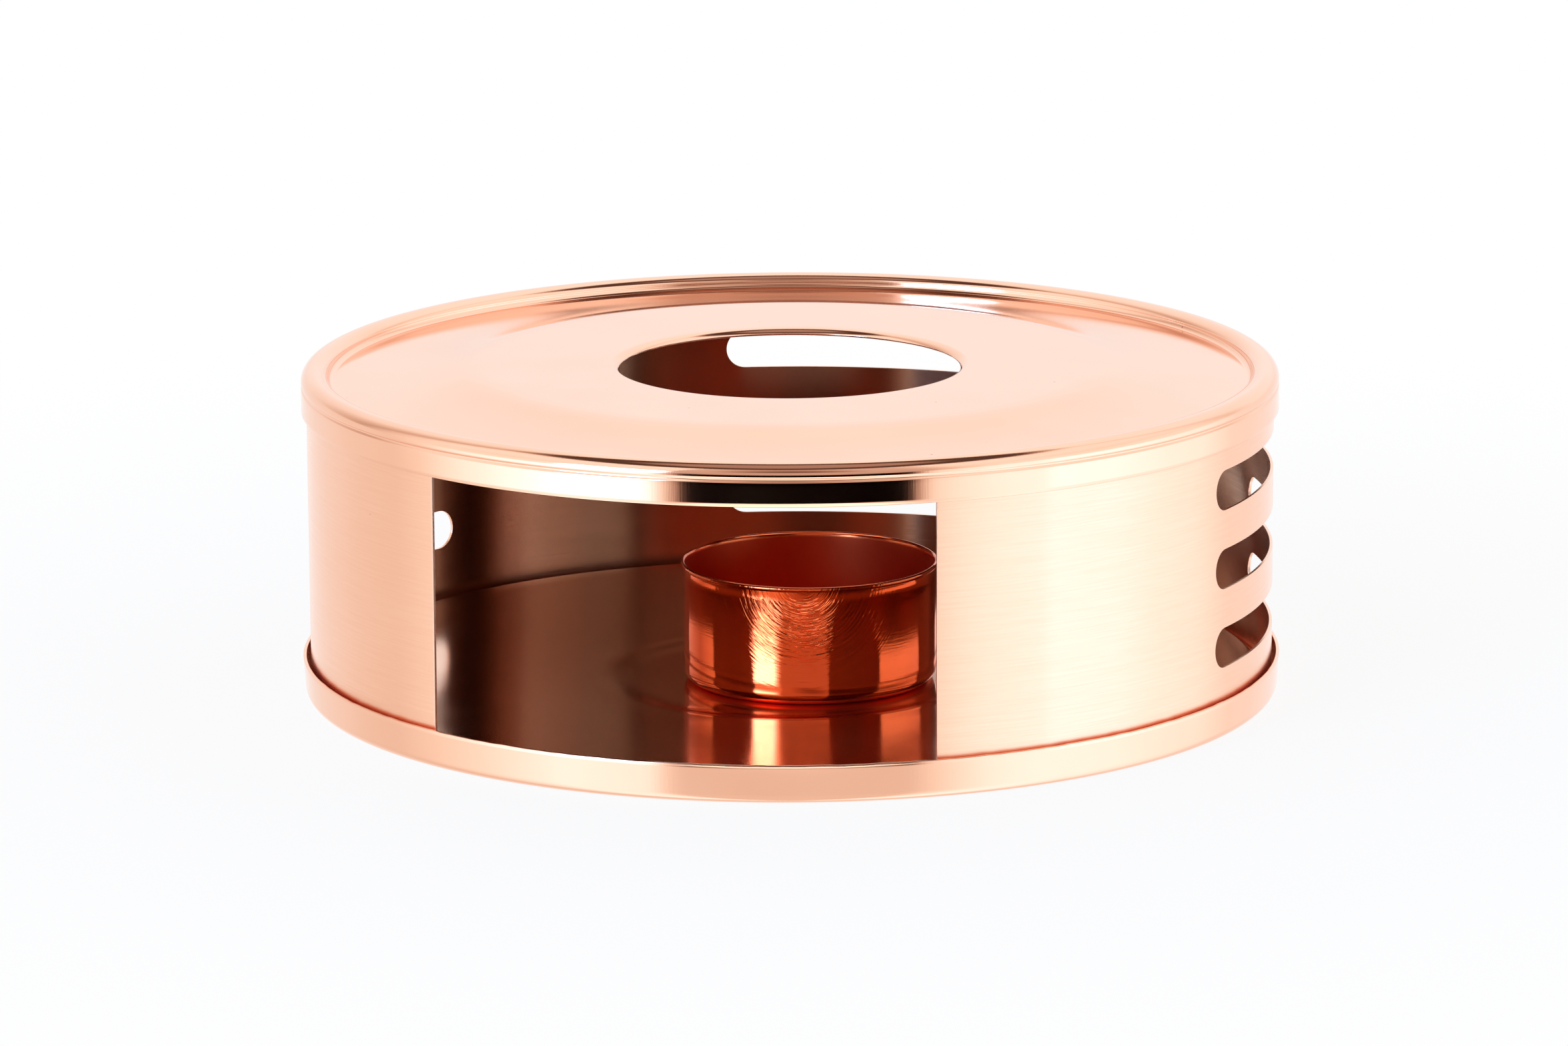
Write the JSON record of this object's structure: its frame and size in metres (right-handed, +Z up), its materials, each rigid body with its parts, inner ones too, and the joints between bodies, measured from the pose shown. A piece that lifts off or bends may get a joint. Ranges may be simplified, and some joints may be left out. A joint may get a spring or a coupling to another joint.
{
  "type": "teapot warmer",
  "caption": "Round sheet-metal teapot warmer: a shallow tray with a loose candle cup under a lift-off hood with a door, heat slots and a top plate with a centre hole.",
  "frame": {"origin": "on the table, under the middle of the round tray", "axes": "+Z up along the tray's round axis, -Y out of the door, +X to the right as seen from the door"},
  "size_m": [0.1508, 0.1508, 0.0506],
  "materials": {
    "polished_copper_plate": "satin-polished copper-coloured plating on sheet steel",
    "brushed_copper_plate": "copper-coloured plating, finely brushed round the band",
    "bright_copper_plate": "bright polished copper-coloured plating"
  },
  "bodies": {
    "tray": {"base_tray": "polished_copper_plate"},
    "hood": {"side_band": "brushed_copper_plate", "top_plate": "polished_copper_plate"},
    "cup": {"candle_cup": "bright_copper_plate"}
  },
  "joints": [
    {"name": "hood_lift", "type": "slide", "parent": "tray", "child": "hood", "axis": [0, 0, 1], "range_m": [0, 0.06]},
    {"name": "cup_draw", "type": "slide", "parent": "tray", "child": "cup", "axis": [0, -0.9781, 0.2079], "range_m": [0, 0.125]}
  ]
}
